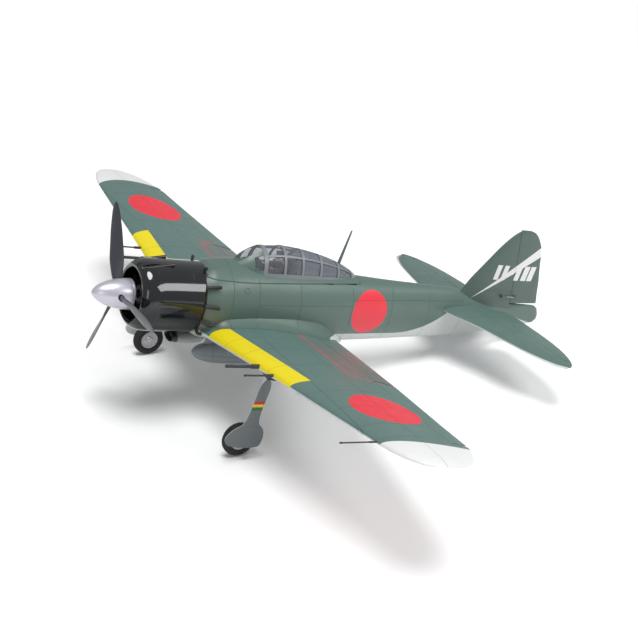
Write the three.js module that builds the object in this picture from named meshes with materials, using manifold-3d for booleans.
// Radio-controlled model of a single-engined naval fighter from the 1940s, with retracting main wheels.
//
// Everything is drawn level, in the plan frame: +X is the port side, +Y runs aft from the tip of the
// spinner, +Z is up from the thrust line. The plan is drawn for a span of PLAN_SPAN. The last group
// scales it to SPAN, tips it back onto its three wheels and puts the origin on the ground below it.
import * as THREE from "three";
import { mergeVertices } from "three/addons/utils/BufferGeometryUtils.js";
import Module from "manifold-3d";

const wasm = await Module();
wasm.setup();

// ---------- driving dimensions, mm on the plan ----------
const SPAN = 1400;                  // real wing span
const PLAN_SPAN = 1486;
const GAP = 0.4;                    // between pieces that touch
const HINGE_GAP = 1.5;              // round a control surface's nose
const END_GAP = 2;                  // at its ends

const COWL_REAR = 206, COWL_RADIUS = 73, COWL_CENTRE_Z = 2;
const HATCH_Z = 60, HATCH_FRONT = 218, HATCH_REAR = 600;
const PROP_Y = 54, PROP_RADIUS = 181, PROP_PHASE = 121;

const WING_Z = -46.5, WING_X = 84;   // leading edge height at this station
const DIHEDRAL = 0.1228;             // rise per mm of span
const FLAP_SPAN = [95, 352], AILERON_SPAN = [357, 650];

const GEAR = new THREE.Vector3(248, 277, -38);        // retract pivot, port side
const GEAR_AXIS = new THREE.Vector3(Math.sin(0.19), Math.cos(0.19), 0);
const GEAR_ANGLE = THREE.MathUtils.degToRad(81);
const WHEEL = new THREE.Vector3(228, 262, -199);
const WHEEL_RADIUS = 34.5, WHEEL_WIDTH = 19;

const TAIL_AXLE = new THREE.Vector3(0, 1100, -58);
const TAIL_WHEEL_RADIUS = 12.5, TAIL_STEER_Y = 1090;
const ELEVATOR_Y = 985, ELEVATOR_Z = 12;
const RUDDER_FOOT = new THREE.Vector3(0, 1061, 26), RUDDER_TOP = new THREE.Vector3(0, 1031, 204);

const STANCE = Math.atan2(
  TAIL_AXLE.z - TAIL_WHEEL_RADIUS - (WHEEL.z - WHEEL_RADIUS), TAIL_AXLE.y - WHEEL.y);

// ---------- materials ----------
const paint = (color, roughness = 0.5, metalness = 0) =>
  new THREE.MeshStandardMaterial({ color, roughness, metalness });
const GREEN = paint(0x5d7d74), GREY = paint(0xb9bdbb), BLACK = paint(0x101012, 0.2), RED = paint(0xd8434f);
const DARK = paint(0x2c2c30, 0.45), SILVER = paint(0xc9c9cc, 0.3, 0.8), RUBBER = paint(0x151515, 0.9);
const GLASS = paint(0xaebbb8, 0.1), TAN = paint(0xb08a63, 0.8), WOOD = paint(0xc79a62, 0.7);
const WHITE = paint(0xe8e8e6), BLUE = paint(0x2b5fb0, 0.5), COCKPIT = paint(0x4b5648, 0.7);

// ---------- solids: join and cut ----------
function toSolid(geometry) {
  const g = geometry.clone();
  for (const name of Object.keys(g.attributes)) if (name !== "position") g.deleteAttribute(name);
  const merged = mergeVertices(g, 1e-4);
  const index = merged.index.array, triVerts = [];
  for (let i = 0; i < index.length; i += 3) {
    const [a, b, c] = index.slice(i, i + 3);
    if (a !== b && b !== c && c !== a) triVerts.push(a, b, c);
  }
  return new wasm.Manifold(new wasm.Mesh({
    numProp: 3,
    vertProperties: new Float32Array(merged.attributes.position.array),
    triVerts: new Uint32Array(triVerts),
  }));
}

function toGeometry(solid) {
  const { vertProperties, triVerts } = solid.getMesh();
  const g = new THREE.BufferGeometry();
  g.setAttribute("position", new THREE.BufferAttribute(new Float32Array(vertProperties), 3));
  g.setIndex(new THREE.BufferAttribute(new Uint32Array(triVerts), 1));
  return g;
}

const combine = (method) => (first, ...rest) =>
  toGeometry(rest.reduce((sum, g) => sum[method](toSolid(g)), toSolid(first)));
const join = combine("add"), cut = combine("subtract"), common = combine("intersect");

// ---------- shapes ----------
function mirrored(geometry) {
  const g = toGeometry(toSolid(geometry));
  g.scale(-1, 1, 1);
  const index = g.index.array;
  for (let i = 0; i < index.length; i += 3) [index[i], index[i + 1]] = [index[i + 1], index[i]];
  return g;
}

function box([x0, x1], [y0, y1], [z0, z1]) {
  return new THREE.BoxGeometry(x1 - x0, y1 - y0, z1 - z0)
    .translate((x0 + x1) / 2, (y0 + y1) / 2, (z0 + z1) / 2);
}

// Straight round bar or cone between two points.
function rod(from, to, r0, r1 = r0, sides = 10) {
  const along = new THREE.Vector3().subVectors(to, from);
  const turn = new THREE.Quaternion()
    .setFromUnitVectors(new THREE.Vector3(0, 1, 0), along.clone().normalize());
  return new THREE.CylinderGeometry(r1, r0, along.length(), sides)
    .applyQuaternion(turn).translate(...from.clone().addScaledVector(along, 0.5));
}

const v = (x, y, z) => new THREE.Vector3(x, y, z);
const barY = (x, y0, y1, z, r, sides) => rod(v(x, y0, z), v(x, y1, z), r, r, sides);

// Turned about a line along Y. profile: [radius, y] pairs.
const turned = (profile, sides = 24, z = 0) =>
  new THREE.LatheGeometry(profile.map(([r, y]) => new THREE.Vector2(r, y)), sides).translate(0, 0, z);

// Skin through rings with equal point counts, closed at both ends.
function loft(rings) {
  const n = rings[0].length, positions = [], index = [];
  for (const ring of rings) for (const p of ring) positions.push(p.x, p.y, p.z);
  for (const ring of [rings[0], rings[rings.length - 1]]) {
    const centre = ring.reduce((sum, p) => sum.add(p), v(0, 0, 0)).divideScalar(n);
    positions.push(centre.x, centre.y, centre.z);
  }
  const first = rings.length * n, last = first + 1, end = (rings.length - 1) * n;
  for (let k = 0; k < n; k++) {
    const m = (k + 1) % n;
    for (let r = 0; r < rings.length - 1; r++) {
      const a = r * n + k, b = r * n + m, c = a + n, d = b + n;
      index.push(a, b, d, a, d, c);
    }
    index.push(first, m, k, last, end + k, end + m);
  }
  const g = new THREE.BufferGeometry();
  g.setAttribute("position", new THREE.Float32BufferAttribute(positions, 3));
  g.setIndex(index);
  const solid = toSolid(g);
  if (solid.volume() > 0) return g;
  g.setIndex(index.reverse());
  return g;
}

// Straight-line reading of a table whose rows start with the station.
function at(table, station) {
  const after = table.findIndex((row) => row[0] >= station);
  if (after <= 0) return table[after < 0 ? table.length - 1 : 0].slice(1);
  const [low, high] = [table[after - 1], table[after]];
  const t = (station - low[0]) / (high[0] - low[0]);
  return low.slice(1).map((value, k) => value + t * (high[k + 1] - value));
}

// ---------- fuselage ----------
// station y: half width, top z, bottom z
const FUSELAGE = [
  [216, 66, 67, -69], [238, 74.5, 78.5, -79], [300, 75, 86, -81], [400, 70, 80, -83], [500, 62, 74, -82.5],
  [600, 52, 68, -80], [700, 41.5, 62, -75], [800, 32.5, 58, -69], [880, 25, 54, -64], [930, 20, 40, -60],
  [1000, 14, 32, -52], [1060, 9.5, 25, -42], [1140, 5, 23, -26], [1166, 3, 6, -19]];
const FUSELAGE_SIDES = 24, FUSELAGE_SQUARENESS = 2.15;

function fuselageRing(y, grow = 0) {
  const [w, top, bottom] = at(FUSELAGE, y);
  const bend = (t) => Math.sign(t) * Math.abs(t) ** (2 / FUSELAGE_SQUARENESS);
  return Array.from({ length: FUSELAGE_SIDES }, (_, k) => {
    const a = 2 * Math.PI * k / FUSELAGE_SIDES;
    return v((w + grow) * bend(Math.cos(a)), y,
      (top + bottom) / 2 + ((top - bottom) / 2 + grow) * bend(Math.sin(a)));
  });
}
function fuselageLoft(grow = 0, from = -Infinity, to = Infinity) {
  const inside = FUSELAGE.map(([y]) => y).filter((y) => y > from && y < to);
  const ends = (y, edge) => (Number.isFinite(edge) ? [edge] : []);
  return loft([...ends(0, from), ...inside, ...ends(0, to)].map((y) => fuselageRing(y, grow)));
}

// ---------- wing ----------
// station x: leading edge y, trailing edge y
const WING_PLAN = [
  [40, 222, 554], [WING_X, 225, 544], [357, 241, 494], [560, 250, 450], [655, 255, 431], [690, 262, 413],
  [718, 275, 392], [736, 295, 368], [743, 318, 348]];
const WING_DROP = 9;                                   // trailing edge below leading edge
const wingThickness = (x) => 0.145 - 0.035 * Math.min(1, x / 743);

// Upper and lower surface height over the chord line, as fractions of the chord.
function aerofoil(t, thick, camber) {
  const half = thick / 0.2
    * (0.2969 * Math.sqrt(t) - 0.126 * t - 0.3516 * t ** 2 + 0.2843 * t ** 3 - 0.1036 * t ** 4);
  const rise = camber * 4 * t * (1 - t);
  return [rise + half, rise - half];
}
const CHORD_STEPS = [0, 0.02, 0.08, 0.2, 0.4, 0.65, 0.85, 1];

// Ring round one aerofoil. place(t, height) gives the point; heights come in mm.
function aerofoilRing(chord, thick, camber, place, blunt = 0.5) {
  const top = CHORD_STEPS.map((t) => place(t, aerofoil(t, thick, camber)[0] * chord + blunt * t));
  const bottom = CHORD_STEPS.slice(1).map((t) => place(t, aerofoil(t, thick, camber)[1] * chord - blunt * t));
  return [...top, ...bottom.reverse()];
}
const wingLine = (x) => WING_Z + DIHEDRAL * (x - WING_X);
function wingRing(x) {
  const [lead, trail] = at(WING_PLAN, x), chord = trail - lead;
  const place = (t, h) => v(x, lead + t * chord, wingLine(x) - WING_DROP * t * chord / 319 + h);
  return aerofoilRing(chord, wingThickness(x), 0.012, place);
}
// Height of the wing's top or bottom skin.
function wingSkin(x, y, side) {
  const [lead, trail] = at(WING_PLAN, x), chord = trail - lead, t = (y - lead) / chord;
  return wingLine(x) - WING_DROP * t * chord / 319
    + aerofoil(t, wingThickness(x), 0.012)[side > 0 ? 0 : 1] * chord;
}
const wingStations = [...new Set([...WING_PLAN.map(([x]) => x), FLAP_SPAN[0], AILERON_SPAN[1]])]
  .sort((a, b) => a - b);
const wingBlank = loft(wingStations.map(wingRing));

// ---------- control surfaces ----------
// A surface swings on a straight line of points, with a round nose. radii are half the thickness at each.
// region is the block behind the line that holds the surface. Gives [surface, what the wing loses].
function hinged(blank, points, radii, region, noseTrim = 0.6) {
  const along = new THREE.Vector3().subVectors(points[points.length - 1], points[0]).normalize();
  const bars = (grow, overrun) => points.slice(1).map((p, k) => rod(
    points[k].clone().addScaledVector(along, -overrun), p.clone().addScaledVector(along, overrun),
    radii[k] + grow, radii[k + 1] + grow, 16));
  const nose = common(blank, join(...bars(-noseTrim, 0)));
  return [join(common(blank, region.inner), nose), join(region.outer, ...bars(HINGE_GAP, END_GAP))];
}

// Four-cornered block: plan outline [a, b] pairs in XY or YZ, pushed through.
function prism(corners, low, high, plane = "xy") {
  const shape = new THREE.Shape(corners.map(([a, b]) => new THREE.Vector2(a, b)));
  const g = new THREE.ExtrudeGeometry(shape, { depth: high - low, bevelEnabled: false }).translate(0, 0, low);
  if (plane === "yz") g.applyMatrix4(new THREE.Matrix4().makeBasis(v(0, 1, 0), v(0, 0, 1), v(1, 0, 0)));
  return g;
}
// Block behind a hinge line, square to it at both ends, grown by side at each end.
function behind(p0, p1, side, depth = 110) {
  const along = v(p1.x - p0.x, p1.y - p0.y, 0).normalize(), aft = v(-along.y, along.x, 0);
  const a = p0.clone().addScaledVector(along, -side), b = p1.clone().addScaledVector(along, side);
  const far = (p) => p.clone().addScaledVector(aft, depth);
  return prism([a, b, far(b), far(a)].map((p) => [p.x, p.y]), -150, 150);
}
function hingePoint(x, fraction) {
  const [lead, trail] = at(WING_PLAN, x), y = lead + fraction * (trail - lead);
  const top = wingSkin(x, y, 1), bottom = wingSkin(x, y, -1);
  return { point: v(x, y, (top + bottom) / 2), low: v(x, y, bottom), half: (top - bottom) / 2 };
}
const hornPlate = (x, y, z) => box([x - 1, x + 1], [y - 2, y + 6], z);

// Aileron: nose on the mid line.
const [aileronIn, aileronOut] = AILERON_SPAN.map((x) => hingePoint(x, 0.79));
const AILERON_HORN_X = 505;
const aileronHornY = aileronIn.point.y + (AILERON_HORN_X - AILERON_SPAN[0])
  / (AILERON_SPAN[1] - AILERON_SPAN[0]) * (aileronOut.point.y - aileronIn.point.y) + 4;
const [aileronPlain, aileronRoom] = hinged(wingBlank, [aileronIn.point, aileronOut.point],
  [aileronIn.half, aileronOut.half], {
    inner: behind(aileronIn.point, aileronOut.point, 0),
    outer: behind(aileronIn.point, aileronOut.point, END_GAP) });
const aileronSkin = wingSkin(AILERON_HORN_X, aileronHornY, -1);
const aileron = join(aileronPlain,
  hornPlate(AILERON_HORN_X, aileronHornY, [aileronSkin - 11, aileronSkin + 2]));

// Flap: a plain flap hinged along the lower skin, so that it only drops.
const [flapIn, flapOut] = FLAP_SPAN.map((x) => hingePoint(x, 0.8));
const FLAP_HORN_X = 215;
const flapHornY = flapIn.point.y + (FLAP_HORN_X - FLAP_SPAN[0])
  / (FLAP_SPAN[1] - FLAP_SPAN[0]) * (flapOut.point.y - flapIn.point.y) + 5;
const flapSkin = wingSkin(FLAP_HORN_X, flapHornY, -1);
const flapStart = [flapIn.low, flapOut.low].map((p) => p.clone().add(v(0, 0.8, 0)));
const flap = join(common(wingBlank, behind(...flapStart, 0)),
  hornPlate(FLAP_HORN_X, flapHornY, [flapSkin - 11, flapSkin + 2]));
const flapRoom = behind(flapIn.low, flapOut.low, END_GAP);

// ---------- landing gear, port side, drawn wheel down ----------
function retracted(geometry) {
  const turn = new THREE.Quaternion().setFromAxisAngle(GEAR_AXIS, GEAR_ANGLE);
  return geometry.clone().translate(...GEAR.clone().negate()).applyQuaternion(turn).translate(...GEAR);
}
const onAxle = (x) => v(x, WHEEL.y, WHEEL.z);
const LEG_X = GEAR.x, LEG_RADIUS = 4.5, DOOR_X = LEG_X + 6, AXLE_RADIUS = 3;
const turnedX = (profile, sides) =>
  new THREE.LatheGeometry(profile.map(([r, x]) => new THREE.Vector2(r, x)), sides)
    .rotateZ(-Math.PI / 2).translate(...WHEEL);

const legFoot = v(LEG_X, WHEEL.y, WHEEL.z);
const legMiddle = GEAR.clone().lerp(legFoot, 0.55);
const gearLeg = join(
  rod(GEAR, legMiddle, LEG_RADIUS), rod(legMiddle, legFoot, LEG_RADIUS - 1.3),
  rod(legMiddle.clone().add(v(0, 0, 3)), legMiddle.clone().add(v(0, -0.3, -3)), LEG_RADIUS + 1.2),
  rod(GEAR.clone().addScaledVector(GEAR_AXIS, -8), GEAR.clone().addScaledVector(GEAR_AXIS, 8), 6),
  rod(onAxle(LEG_X + 3.5), onAxle(WHEEL.x - 9), AXLE_RADIUS),
  rod(onAxle(LEG_X + 4), onAxle(LEG_X - 5), 5));

const halfWidth = WHEEL_WIDTH / 2, RIM = 20;
const tyre = turnedX([
  [RIM, -halfWidth + 2], [RIM + 7, -halfWidth], [WHEEL_RADIUS - 4, -halfWidth + 1.5], [WHEEL_RADIUS, -4],
  [WHEEL_RADIUS, 4], [WHEEL_RADIUS - 4, halfWidth - 1.5], [RIM + 7, halfWidth], [RIM, halfWidth - 2],
  [RIM, -halfWidth + 2]], 24);
const wheelHub = turnedX([
  [AXLE_RADIUS + GAP, -8], [7, -8], [9, -5], [RIM - 4, -5], [RIM - GAP, -7], [RIM - GAP, 7], [RIM - 4, 5],
  [9, 5], [7, 8], [AXLE_RADIUS + GAP, 8], [AXLE_RADIUS + GAP, -8]], 14);

// Cover plate: a strap down the leg that widens into a leaf over the wheel. Outline: [y, z] pairs.
const legYAt = (z) => GEAR.y + (z - GEAR.z) / (WHEEL.z - GEAR.z) * (WHEEL.y - GEAR.y);
const DOOR_OUTLINE = [
  [289, -58], [278, -124], [279, -152], [290, -159], [297, -172], [297, -190], [291, -205], [226, -202],
  [213, -187], [218, -174], [231, -162], [248, -154], [255, -124], [263, -58]];
const doorPlate = (x0, x1, scale = 1) => prism(DOOR_OUTLINE, x0, x1, "yz")
  .translate(0, -260, 150).scale(1, scale, scale).translate(0, 260, -150);
const gearDoor = join(doorPlate(DOOR_X, DOOR_X + 1.8),
  ...[-75, -150].map((z) => box([LEG_X + LEG_RADIUS + GAP, DOOR_X + 0.5],
    [legYAt(z) - 4, legYAt(z) + 4], [z - 4, z + 4])));

// Retract unit: a block outboard of the pivot with a cheek on each side of the trunnion.
const turnedWithPivot = (g) => g.rotateZ(-Math.asin(GEAR_AXIS.x)).translate(...GEAR);
const retractUnit = turnedWithPivot(join(box([8, 34], [-14, 14], [-8, 12]),
  box([-6, 8.5], [-14, -8.4], [-8, 12]), box([-6, 8.5], [8.4, 14], [-8, 12])));
const retractRoom = turnedWithPivot(box([-8, 34.5], [-14.5, 14.5], [-60, 12.5]));

// Room in the wing and belly for the leg, wheel and cover, open below.
const gearWell = retracted(join(
  rod(onAxle(WHEEL.x - halfWidth - 2), onAxle(WHEEL.x + 70), WHEEL_RADIUS + 3.5, WHEEL_RADIUS + 3.5, 20),
  doorPlate(DOOR_X - 2, LEG_X + 70, 1.05),
  box([LEG_X - LEG_RADIUS - 2.5, LEG_X + 70], [WHEEL.y - 12, GEAR.y + 12], [WHEEL.z, GEAR.z - 6])));

// ---------- wing half, port side ----------
const SPAR = { y: 352, z: -42, radius: 5, half: 165 };
const spar = rod(v(-SPAR.half, SPAR.y, SPAR.z), v(SPAR.half, SPAR.y, SPAR.z), SPAR.radius);
const sparRoom = rod(v(-SPAR.half - 1, SPAR.y, SPAR.z), v(SPAR.half + 1, SPAR.y, SPAR.z), SPAR.radius + GAP);

// Servos sit in pockets in the lower skin. Each drives its surface through a straight rod below the skin.
function wingServo(x, y, hornY, hornSkin) {
  const z = wingSkin(x, y, -1), rodZ = hornSkin - 8;
  return {
    servo: join(box([x - 6, x + 6], [y - 12, y + 12], [z + 0.5, z + 19]),
      box([x - 1, x + 1], [y + 2, y + 9], [rodZ - 2, z + 1])),
    room: box([x - 6.5, x + 6.5], [y - 12.5, y + 12.5], [z - 15, z + 19.5]),
    pushrod: rod(v(x + 3.4, y + 4, rodZ), v(x + 3.4, hornY + 4, rodZ), 1.2, 1.2, 6),
  };
}
const aileronServo = wingServo(AILERON_HORN_X, 345, aileronHornY, aileronSkin);
const flapServo = wingServo(FLAP_HORN_X, 385, flapHornY, flapSkin);

const GUNS = [
  { name: "cannon", x: 268, reach: 68, radius: 3.2 },
  { name: "machine_gun", x: 318, reach: 60, radius: 1.8 }];
for (const gun of GUNS) {
  const lead = at(WING_PLAN, gun.x)[0];
  gun.z = wingLine(gun.x) + 0.5;
  gun.solid = join(barY(gun.x, lead - gun.reach, lead + 12, gun.z, gun.radius, 8),
    barY(gun.x, lead - 14, lead + 12, gun.z, gun.radius + 1.2, 8));
  gun.room = barY(gun.x, lead - 20, lead + 12.5, gun.z, gun.radius + 1.2 + GAP);
}
const PITOT = { x: 632, reach: 72, radius: 1.6 };
const pitotLead = at(WING_PLAN, PITOT.x)[0], pitotZ = wingLine(PITOT.x);
const pitot = barY(PITOT.x, pitotLead - PITOT.reach, pitotLead + 10, pitotZ, PITOT.radius);
const pitotRoom = barY(PITOT.x, pitotLead - 10, pitotLead + 10.5, pitotZ, PITOT.radius + GAP);

const fuselageSkin = fuselageLoft(GAP);
const wing = cut(wingBlank, fuselageSkin, aileronRoom, flapRoom, gearWell, retractRoom, sparRoom,
  aileronServo.room, flapServo.room, ...GUNS.map((gun) => gun.room));

// ---------- tailplane, fin and their surfaces ----------
// station x: leading edge y, trailing edge y
const TAILPLANE = [
  [8, 846, 1037], [44, 853, 1037], [126, 885, 1036], [190, 900, 1032], [243, 914, 1023], [290, 932, 1006],
  [318, 948, 988], [329, 962, 976]];
const TAIL_THICKNESS = 0.09, TAILPLANE_Z = [9, 14];
function tailplaneRing([x, lead, trail]) {
  const place = (t, h) => v(x, lead + t * (trail - lead), THREE.MathUtils.lerp(...TAILPLANE_Z, t) + h);
  return aerofoilRing(trail - lead, TAIL_THICKNESS, 0, place, 0.6);
}
const tailplaneBlank = loft(TAILPLANE.map(tailplaneRing));
const tailHalf = (table, station, y) => {
  const [lead, trail] = at(table, station);
  return aerofoil((y - lead) / (trail - lead), TAIL_THICKNESS, 0)[0] * (trail - lead);
};
const ELEVATOR_SPAN = [19, 296];
const [inX, outX] = ELEVATOR_SPAN;
const elevatorStations = [inX, 85, 126, 190, 243, 280, outX];
const [elevatorHalf, elevatorRoom] = hinged(tailplaneBlank,
  elevatorStations.map((x) => v(x, ELEVATOR_Y, ELEVATOR_Z)),
  elevatorStations.map((x) => tailHalf(TAILPLANE, x, ELEVATOR_Y) + 0.9), {
    inner: prism([[inX, ELEVATOR_Y], [outX, ELEVATOR_Y], [outX, 1060], [54, 1060], [50, 1037], [34, 1010]],
      -60, 80),
    outer: prism([[0, ELEVATOR_Y], [outX + END_GAP, ELEVATOR_Y], [outX + END_GAP, 1060], [0, 1060]], -60, 80) });
const JOINER_RADIUS = 2.6;
const joiner = (radius, half) =>
  rod(v(-half, ELEVATOR_Y, ELEVATOR_Z), v(half, ELEVATOR_Y, ELEVATOR_Z), radius, radius, 12);
const ELEVATOR_HORN_X = -26;
const elevator = join(elevatorHalf, mirrored(elevatorHalf), joiner(JOINER_RADIUS, 24),
  box([ELEVATOR_HORN_X - 1, ELEVATOR_HORN_X + 1], [ELEVATOR_Y + 1, ELEVATOR_Y + 9], [-7, ELEVATOR_Z]));
const tailplane = cut(tailplaneBlank, fuselageSkin, elevatorRoom, joiner(JOINER_RADIUS + 0.5, 60));
const elevatorPushrod = barY(ELEVATOR_HORN_X - 3, 905, ELEVATOR_Y + 6, -4, 1.2, 8);

// station z: leading edge y, trailing edge y
const FIN = [
  [20, 893, 1151], [53, 907, 1143], [79, 921, 1137], [132, 960, 1121], [165, 985, 1113], [184, 1002, 1099],
  [198, 1018, 1086], [206, 1031, 1073], [209, 1043, 1060]];
function finRing([z, lead, trail]) {
  const place = (t, h) => v(h, lead + t * (trail - lead), z);
  return aerofoilRing(trail - lead, TAIL_THICKNESS, 0, place, 0.6);
}
const finBlank = loft(FIN.map(finRing));
const finHalfAt = ({ y, z }) => Math.max(2.2, tailHalf(FIN, z, y));
const RUDDER_HORN_Z = 46, RUDDER_HORN_X = 15;
const rudderLineY = (z) => RUDDER_FOOT.y
  + (z - RUDDER_FOOT.z) / (RUDDER_TOP.z - RUDDER_FOOT.z) * (RUDDER_TOP.y - RUDDER_FOOT.y);
const rudderFoot = v(0, rudderLineY(27.5), 27.5);
const rudderStations = [27.5, 79, 132, 165, 190, RUDDER_TOP.z].map((z) => v(0, rudderLineY(z), z));
const [rudderPlain, rudderRoom] = hinged(finBlank, rudderStations, rudderStations.map(finHalfAt), {
    inner: prism([[rudderFoot.y, 27.5], [1200, 27.5], [1200, 230], [rudderLineY(230), 230]], -60, 60, "yz"),
    outer: prism([[rudderLineY(0), 0], [1200, 0], [1200, 230], [rudderLineY(230), 230]], -60, 60, "yz") }, 0.3);
const hornY = rudderLineY(RUDDER_HORN_Z);
const rudder = join(rudderPlain,
  box([2, RUDDER_HORN_X + 3], [hornY + 4, hornY + 16], [RUDDER_HORN_Z - 1, RUDDER_HORN_Z + 1]));
const rudderPushrod = barY(RUDDER_HORN_X, hornY - 22, hornY + 2.5, RUDDER_HORN_Z, 1.2, 8);
const rodExit = box([3, RUDDER_HORN_X + 3], [hornY - 38, hornY - 30], [RUDDER_HORN_Z - 3, RUDDER_HORN_Z + 3]);
const fin = cut(join(finBlank, rodExit), fuselageSkin, rudderRoom);

// ---------- fuselage body ----------
const BAY = { half: 38, floor: -30 };
const bay = common(fuselageLoft(-9, HATCH_FRONT + 12, HATCH_REAR - 12),
  box([-BAY.half, BAY.half], [200, 620], [BAY.floor, 200]));
const hatchRoom = box([-200, 200], [100, HATCH_REAR], [HATCH_Z, 300]);
const strutRoom = rod(v(0, TAIL_STEER_Y, -10), v(0, TAIL_STEER_Y, -80), 4.6, 4.6, 16);
const receiverShelf = box([-25, 25], [450, 510], [BAY.floor - 1, BAY.floor + 3]);
const fuselage = join(cut(fuselageLoft(), bay, hatchRoom, gearWell, mirrored(gearWell), sparRoom,
  joiner(JOINER_RADIUS + 0.5, 60), strutRoom), receiverShelf);

// ---------- hatch with the cockpit ----------
// station y: half width, top z of the glazing
const CANOPY = [
  [290, 22, 86], [318, 38, 107], [347, 43, 121], [395, 41, 124], [440, 37, 121], [495, 31, 110], [545, 23, 95],
  [585, 12, 77], [604, 4, 68]];
const CANOPY_FOOT = 60, CANOPY_SIDES = 10;
function canopyRing(station, inset) {
  const ends = [CANOPY[0][0], CANOPY[CANOPY.length - 1][0]];
  const y = station + (station === ends[0] ? -inset : 0) + (station === ends[1] ? inset : 0);
  const [w, top] = at(CANOPY, station);
  const half = Math.max(0.8, w - inset), rise = Math.max(1, top - CANOPY_FOOT);
  return Array.from({ length: CANOPY_SIDES + 1 }, (_, k) => {
    const a = Math.PI * k / CANOPY_SIDES;
    return v(half * Math.cos(a) * (1 - 0.12 * Math.sin(a)), y,
      CANOPY_FOOT - inset + rise * Math.sin(a) ** 0.75);
  });
}
const canopyLoft = (inset) => loft(CANOPY.map(([y]) => canopyRing(y, inset)));
const deckCut = (grow) => fuselageLoft(grow, HATCH_FRONT, HATCH_REAR + 20);
const canopyOuter = cut(canopyLoft(0), deckCut(GAP));
const SIDE_PANES = [[353, 388], [394, 433], [441, 482]], TOP_PANES = [...SIDE_PANES, [501, 539]];
const panes = [
  ...SIDE_PANES.map(([y0, y1]) => box([-60, 60], [y0, y1], [79, at(CANOPY, y1)[1] * 0.81])),
  ...TOP_PANES.map(([y0, y1]) =>
    box([-at(CANOPY, y1)[0] * 0.4, at(CANOPY, y1)[0] * 0.4], [y0, y1], [98, 160]))];
const windscreenPanes = [
  box([-12, 12], [296, 341], [85, 160]), box([-60, -17], [302, 344], [84, 114]),
  box([17, 60], [302, 344], [84, 114])];
const canopyFrame = cut(canopyOuter, canopyLoft(1.8), ...panes, ...windscreenPanes);
const canopyGlass = cut(canopyLoft(2.9), deckCut(GAP), canopyLoft(4.4));
const cockpitHole = common(canopyLoft(5), box([-60, 60], [318, 572], [40, 140]));
const hatchCover = cut(
  common(fuselageLoft(0, HATCH_FRONT, HATCH_REAR - GAP), box([-200, 200], [0, 900], [HATCH_Z + GAP, 300])),
  common(fuselageLoft(-4, HATCH_FRONT + 4, HATCH_REAR - 5), box([-200, 200], [0, 900], [0, 300])), cockpitHole);
const tub = join(
  common(fuselageLoft(-4 - GAP, 320, 566), box([-60, 60], [300, 580], [HATCH_Z + GAP, HATCH_Z + 3])),
  box([-26, 26], [340, 344], [HATCH_Z + 1, 92]), box([-9, 9], [424, 428], [HATCH_Z + 1, 98]));
const pilot = join(
  new THREE.SphereGeometry(1, 12, 8).scale(15, 10, 17).translate(0, 400, 82),
  new THREE.SphereGeometry(9, 12, 8).translate(0, 396, 104));

// ---------- nose: cowl, engine, motor, propeller ----------
const cowl = turned([
  [52, 84], [53.5, 80.5], [58, 80.5], [65.5, 86.5], [71, 98], [COWL_RADIUS, 116], [COWL_RADIUS, COWL_REAR],
  [COWL_RADIUS - 3, COWL_REAR], [COWL_RADIUS - 3, 116], [66, 100], [60, 91], [52, 84]], 28, COWL_CENTRE_Z);

const MOTOR_SHAFT_BORE = 9, CYLINDERS = 9;
const radialPoint = (angle, radius, y) =>
  v(radius * Math.cos(angle), y, COWL_CENTRE_Z + radius * Math.sin(angle));
const dummyEngine = cut(join(
  turned([[0, 98], [16, 98], [20, 104], [24, 112], [24, 140], [0, 140]], 20, COWL_CENTRE_Z),
  ...Array.from({ length: CYLINDERS }, (_, k) => {
    const a = Math.PI / 2 + 2 * Math.PI * k / CYLINDERS;
    return rod(radialPoint(a, 15, 122), radialPoint(a, 66, 122), 10, 9, 8);
  })), barY(0, 60, 200, 0, MOTOR_SHAFT_BORE, 16));

const firewall = cut(rod(v(0, 207.4, 0), v(0, 215.6, 0), 58, 58, 24), barY(0, 200, 220, 0, 6, 12));
const motorBase = cut(turned([[0, 195], [17, 195], [17, 203], [30, 203], [30, 207], [0, 207]], 20),
  barY(0, 190, 210, 0, 4, 12));
const motorBell = join(turned([[0, 150], [20, 150], [23, 154], [23, 194.5], [0, 194.5]], 24),
  barY(0, 60.4, 152, 0, 4, 12));

const spinnerShape = [[0, 0], [5, 1], [12, 7], [19, 19], [25.5, 36], [29.5, 55], [31, 78]];
const spinnerInside = [[0, 8], [9, 11], [16, 22], [22, 37], [26, 55], [28, 79], [0, 79]];
const BLADE = [                                          // radius: chord, thickness, twist in degrees
  [22, 16, 8, 50], [40, 24, 6.5, 44], [75, 33, 4.6, 33], [120, 31, 3.2, 24], [160, 22, 2.2, 19],
  [176, 12, 1.6, 18], [PROP_RADIUS, 4, 1.2, 18]];
function bladeRing([radius, chord, thick, twist], grow = 0) {
  const a = THREE.MathUtils.degToRad(twist), n = 8;
  return Array.from({ length: n }, (_, k) => {
    const b = 2 * Math.PI * k / n, c = (chord / 2 + grow) * Math.cos(b), h = (thick / 2 + grow) * Math.sin(b);
    return v(c * Math.cos(a) + h * Math.sin(a), PROP_Y + c * Math.sin(a) - h * Math.cos(a), radius);
  });
}
const aroundShaft = (g, degrees) => g.clone().rotateY(THREE.MathUtils.degToRad(90 - degrees));
const bladeAngles = [0, 1, 2].map((k) => PROP_PHASE + 120 * k);
const blade = loft(BLADE.map((row) => bladeRing(row)));
const bladeSlot = loft([18, 40].map((radius) => bladeRing([radius, ...BLADE[0].slice(1)], 2.4)));
const propeller = join(rod(v(0, PROP_Y - 8, 0), v(0, PROP_Y + 6, 0), 20, 20, 20),
  ...bladeAngles.map((a) => aroundShaft(join(blade, rod(v(0, PROP_Y, 12), v(0, PROP_Y, 26), 6)), a)));
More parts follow.
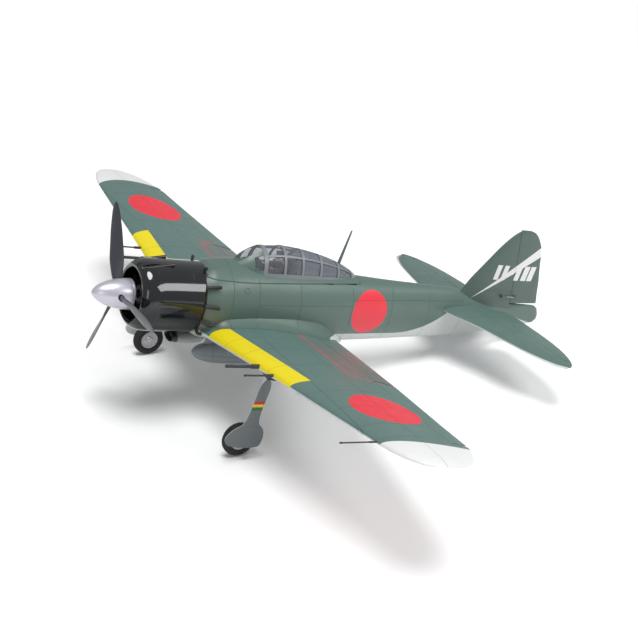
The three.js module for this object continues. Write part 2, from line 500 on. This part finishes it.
const spinner = cut(turned([...spinnerShape, [0, 78]], 20), turned(spinnerInside, 12),
  ...bladeAngles.map((a) => aroundShaft(join(bladeSlot, rod(v(0, PROP_Y, 12), v(0, PROP_Y, 34), 7)), a)));

// Exhaust stubs come out between the cowl and the fuselage.
const STUBS = [[66, 216.5], [36, 240], [6, 238], [-22, 230], [-44, 223]];     // angle, end y
function exhaustStub(degrees, end) {
  const a = THREE.MathUtils.degToRad(degrees);
  const path = new THREE.CatmullRomCurve3([[61.5, 197], [62, 205.5], [73, 214], [80, end - 8], [82, end]]
    .map(([radius, y]) => radialPoint(a, radius, y)));
  const section = new THREE.Shape(Array.from({ length: 5 }, (_, k) =>
    new THREE.Vector2(3.1 * Math.cos(0.4 * Math.PI * k), 3.1 * Math.sin(0.4 * Math.PI * k))));
  return new THREE.ExtrudeGeometry(section, { steps: 3, bevelEnabled: false, extrudePath: path });
}
const stubs = STUBS.flatMap(([a, end]) => [exhaustStub(a, end), exhaustStub(180 - a, end)]);
const exhaustRing = join(
  turned([[61, 196], [67, 196], [67, 202], [61, 202], [61, 196]], 20, COWL_CENTRE_Z), ...stubs);

const scoopRing = (y, w, top, bottom) => Array.from({ length: 16 }, (_, k) => {
  const a = 2 * Math.PI * k / 16;
  return v(w * Math.cos(a), y, (top + bottom) / 2 + (top - bottom) / 2 * Math.sin(a));
});
const oilCooler = cut(
  loft([scoopRing(184, 20, -76, -96), scoopRing(215, 23, -74, -98), scoopRing(245, 21, -74, -96),
    scoopRing(268, 9, -74, -88)]),
  loft([scoopRing(180, 17, -78.5, -93.5), scoopRing(225, 14, -82, -92)]),
  fuselageSkin,
  turned([[0, 150], [COWL_RADIUS + 1, 150], [COWL_RADIUS + 1, 209], [0, 209]], 40, COWL_CENTRE_Z));

// ---------- drop tank, mast ----------
const TANK_Z = -121, TANK_RADIUS = 24;
const dropTank = cut(join(
  turned([[0, 246], [8, 249], [16, 262], [22, 290], [TANK_RADIUS, 330], [23, 390], [18, 450], [9, 500], [0, 518]],
    20, TANK_Z),
  box([-4, 4], [272, 330], [TANK_Z, -70])), fuselageSkin);
const mast = cut(loft([[86, 545, 9], [171, 557, 4]].map(([z, y, chord]) => Array.from({ length: 8 }, (_, k) =>
  v(chord / 4 * Math.cos(Math.PI * k / 4), y + chord / 2 * Math.sin(Math.PI * k / 4), z)))), canopyLoft(-GAP));

// ---------- tail wheel ----------
const tailStrut = join(
  rod(v(0, TAIL_STEER_Y, -16), v(0, TAIL_STEER_Y, -42), 4, 4, 12),
  box([-8, 8], [TAIL_STEER_Y - 4, TAIL_AXLE.y + 3], [-43, -40]),
  ...[-1, 1].map((side) => box([side * 6.5 - 1.5, side * 6.5 + 1.5],
    [TAIL_AXLE.y - 6, TAIL_AXLE.y + 4], [TAIL_AXLE.z - 3, -40.5])),
  rod(v(-7, TAIL_AXLE.y, TAIL_AXLE.z), v(7, TAIL_AXLE.y, TAIL_AXLE.z), 1.6, 1.6, 10));
const tailWheel = new THREE.LatheGeometry([
  [2.1, -4], [10, -4], [TAIL_WHEEL_RADIUS, -2], [TAIL_WHEEL_RADIUS, 2], [10, 4], [2.1, 4], [2.1, -4]]
  .map(([r, x]) => new THREE.Vector2(r, x)), 24).rotateZ(Math.PI / 2).translate(...TAIL_AXLE);

// ---------- electrics in the bay ----------
const battery = box([-24, 24], [300, 440], [BAY.floor + 1, BAY.floor + 43]);
const speedController = box([-18, 18], [232, 286], [BAY.floor + 1, BAY.floor + 15]);
const bayServo = (x) => join(box([x - 6, x + 6], [520, 544], [BAY.floor + 1, BAY.floor + 24]),
  rod(v(x, 526, BAY.floor + 23), v(x, 526, BAY.floor + 28), 5));

// ---------- assembly ----------
const plan = new THREE.Group();
function add(name, geometry, material) {
  const mesh = new THREE.Mesh(toGeometry(toSolid(geometry)), material);
  mesh.name = name;
  plan.add(mesh);
}
function addPair(name, geometry, material) {
  add(`${name}_left`, geometry, material);
  add(`${name}_right`, mirrored(geometry), material);
}

add("fuselage", fuselage, GREEN);
add("fin", fin, GREEN);
add("rudder", rudder, GREEN);
add("elevator", elevator, GREEN);
addPair("stabilizer", tailplane, GREEN);
add("wing_left", cut(wing, pitotRoom), GREEN);
add("wing_right", mirrored(wing), GREEN);
addPair("aileron", aileron, GREEN);
addPair("flap", flap, GREEN);
add("wing_spar", spar, DARK);
for (const gun of GUNS) addPair(gun.name, gun.solid, BLACK);
add("pitot_tube", pitot, BLACK);

add("hatch_cover", hatchCover, GREEN);
add("canopy_frame", canopyFrame, GREEN);
add("canopy_glass", canopyGlass, GLASS);
add("cockpit_tub", tub, COCKPIT);
add("pilot_figure", pilot, TAN);
add("antenna_mast", mast, GREEN);

add("cowl", cowl, BLACK);
add("dummy_engine", dummyEngine, DARK);
add("exhaust_ring", exhaustRing, BLACK);
add("oil_cooler", oilCooler, GREY);
add("firewall", firewall, WOOD);
add("motor_base", motorBase, SILVER);
add("motor_bell", motorBell, DARK);
add("spinner", spinner, SILVER);
add("propeller", propeller, DARK);

addPair("gear_leg", gearLeg, SILVER);
addPair("gear_door", gearDoor, GREY);
addPair("wheel_hub", wheelHub, SILVER);
addPair("tyre", tyre, RUBBER);
addPair("retract_unit", retractUnit, DARK);
add("tail_strut", tailStrut, SILVER);
add("tail_wheel", tailWheel, RUBBER);
add("drop_tank", dropTank, GREY);

add("battery", battery, BLUE);
add("speed_controller", speedController, RED);
add("elevator_servo", bayServo(-16), DARK);
add("rudder_servo", bayServo(16), DARK);
addPair("aileron_servo", aileronServo.servo, DARK);
addPair("flap_servo", flapServo.servo, DARK);
addPair("aileron_pushrod", aileronServo.pushrod, SILVER);
addPair("flap_pushrod", flapServo.pushrod, SILVER);
add("elevator_pushrod", elevatorPushrod, SILVER);
add("rudder_pushrod", rudderPushrod, SILVER);

// Stand it on its wheels at full size, origin on the ground under the middle of its box.
plan.rotation.x = -STANCE;
plan.scale.setScalar(SPAN / PLAN_SPAN);
const plane = new THREE.Group();
plane.add(plan);
const extent = new THREE.Box3().setFromObject(plane, true);
const centre = extent.getCenter(new THREE.Vector3());
plan.position.set(-centre.x, -centre.y, -extent.min.z);

export default plane;
